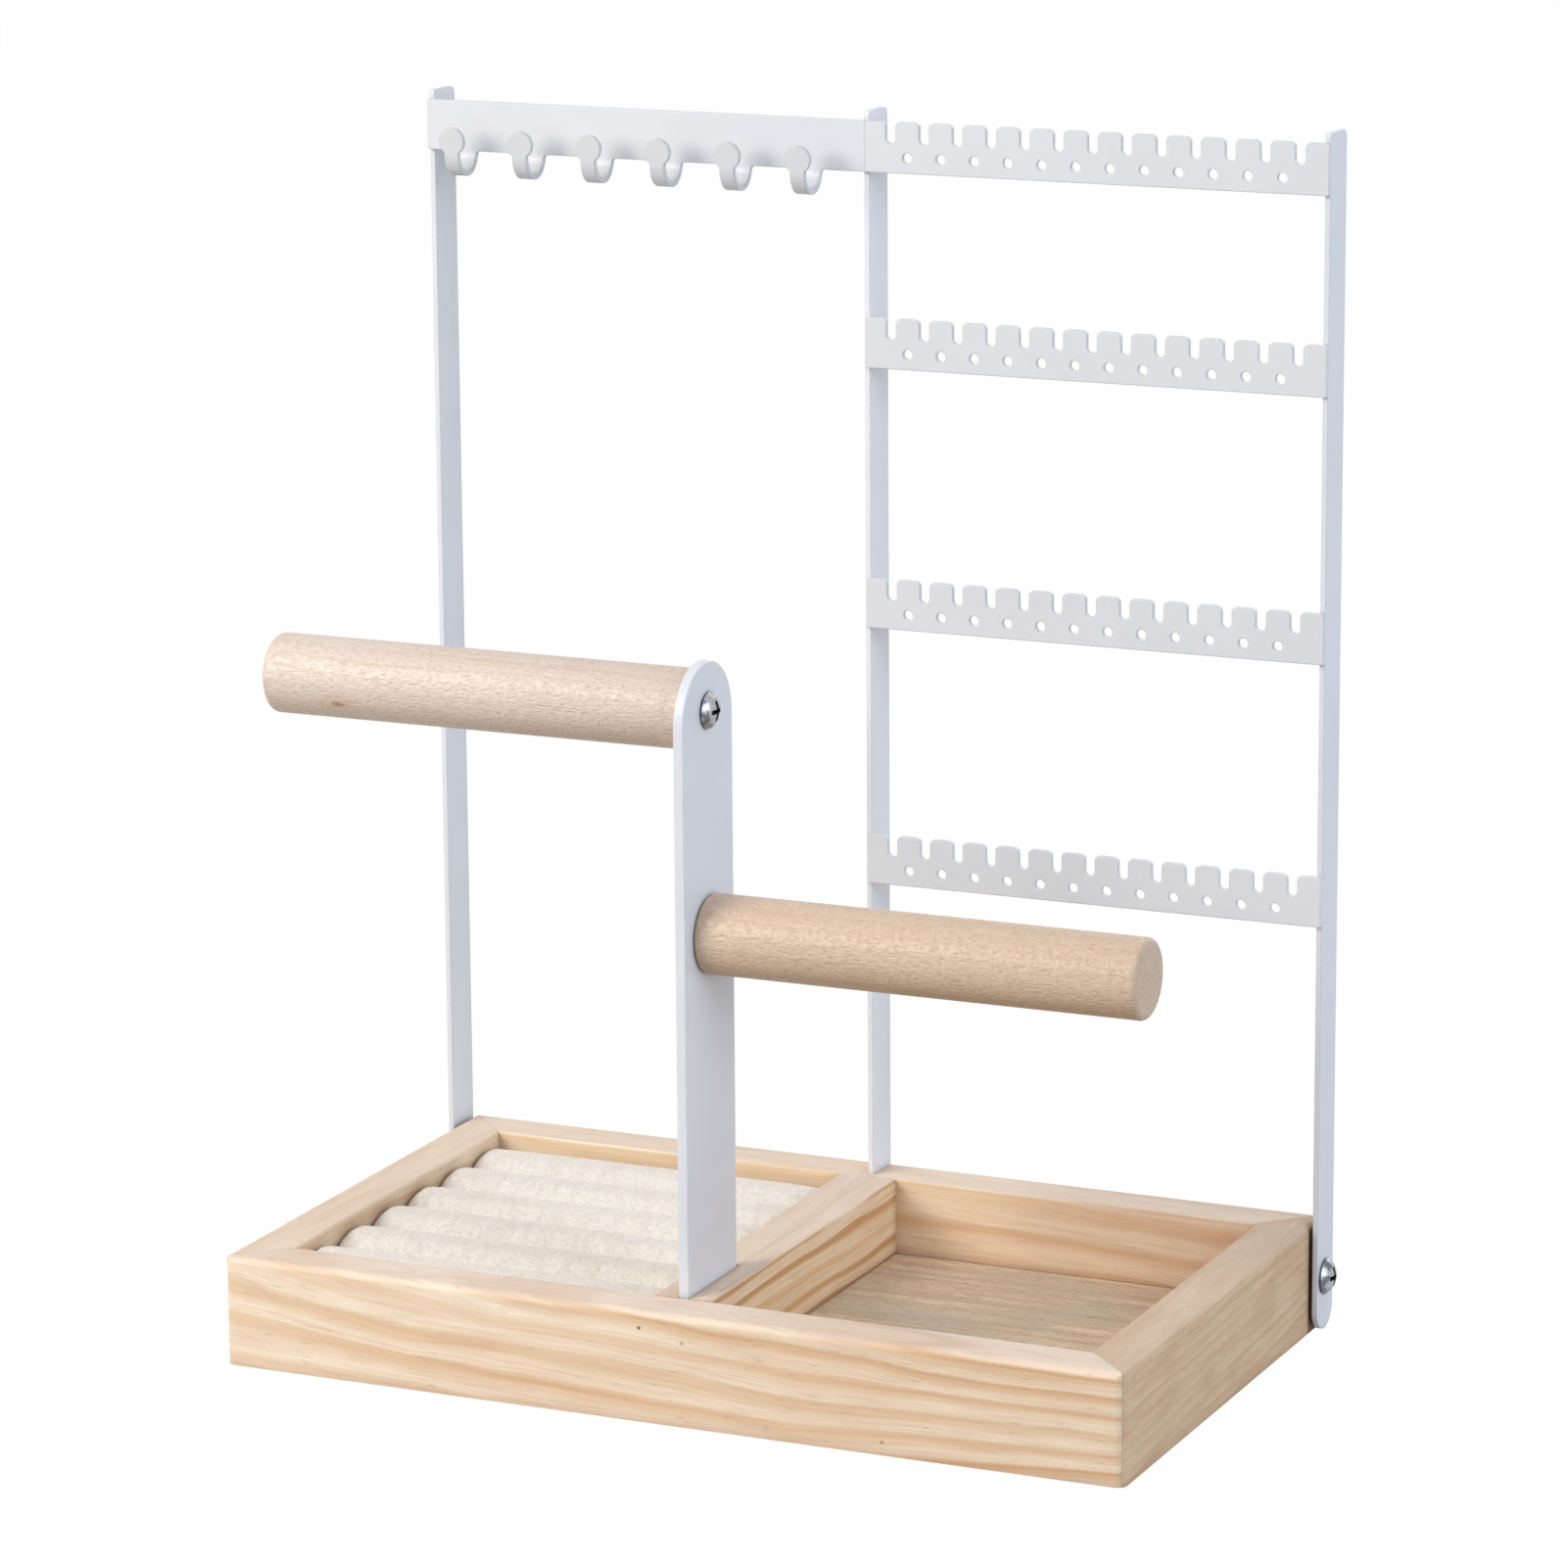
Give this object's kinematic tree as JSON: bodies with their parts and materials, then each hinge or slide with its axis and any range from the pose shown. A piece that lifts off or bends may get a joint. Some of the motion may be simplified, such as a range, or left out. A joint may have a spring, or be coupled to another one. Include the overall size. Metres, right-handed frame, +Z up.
{
  "type": "jewellery organizer",
  "caption": "Desktop jewellery organizer: wooden tray with a ring pad, necklace dowels on a flat stand, and a metal frame with hooks and notched earring rails.",
  "frame": {"origin": "centre of the tray's underside, on the surface it stands on", "axes": "+Z up, +X to the viewer's right along the tray's long side, +Y to the rear where the tall frame stands; the front of the tray faces -Y"},
  "size_m": [0.2836, 0.158, 0.3445],
  "materials": {
    "pine": "bare sanded pine with a fine straight grain",
    "plywood": "unfinished plywood face",
    "pin_steel": "plain steel wire",
    "powder_coat": "white satin powder coat",
    "screw_steel": "bright zinc-plated steel",
    "beech": "smooth turned beech, lightly waxed",
    "pad_board": "matte fibre board",
    "velvet": "off-white short-pile velvet over foam"
  },
  "bodies": {
    "organizer": {"tray_front_rail": "pine", "tray_rear_rail": "pine", "tray_left_rail": "pine", "tray_right_rail": "pine", "tray_divider": "pine", "tray_floor_panel": "plywood", "divider_pins": "pin_steel", "left_upright": "powder_coat", "right_upright": "powder_coat", "middle_upright": "powder_coat", "hook_rail": "powder_coat", "earring_rail_1": "powder_coat", "earring_rail_2": "powder_coat", "earring_rail_3": "powder_coat", "earring_rail_4": "powder_coat", "left_upright_screw": "screw_steel", "right_upright_screw": "screw_steel"},
    "necklace_stand": {"stand_post": "powder_coat", "upper_dowel": "beech", "lower_dowel": "beech", "upper_dowel_screw": "screw_steel", "lower_dowel_screw": "screw_steel"},
    "ring_pad": {"ring_pad_board": "pad_board", "ring_roll_1": "velvet", "ring_roll_2": "velvet", "ring_roll_3": "velvet", "ring_roll_4": "velvet", "ring_roll_5": "velvet", "ring_roll_6": "velvet"}
  },
  "joints": [
    {"name": "stand_lift", "type": "slide", "parent": "organizer", "child": "necklace_stand", "axis": [0, 0, 1], "range_m": [0, 0.03]},
    {"name": "ring_pad_lift", "type": "slide", "parent": "organizer", "child": "ring_pad", "axis": [0, 0, 1], "range_m": [0, 0.04]}
  ]
}
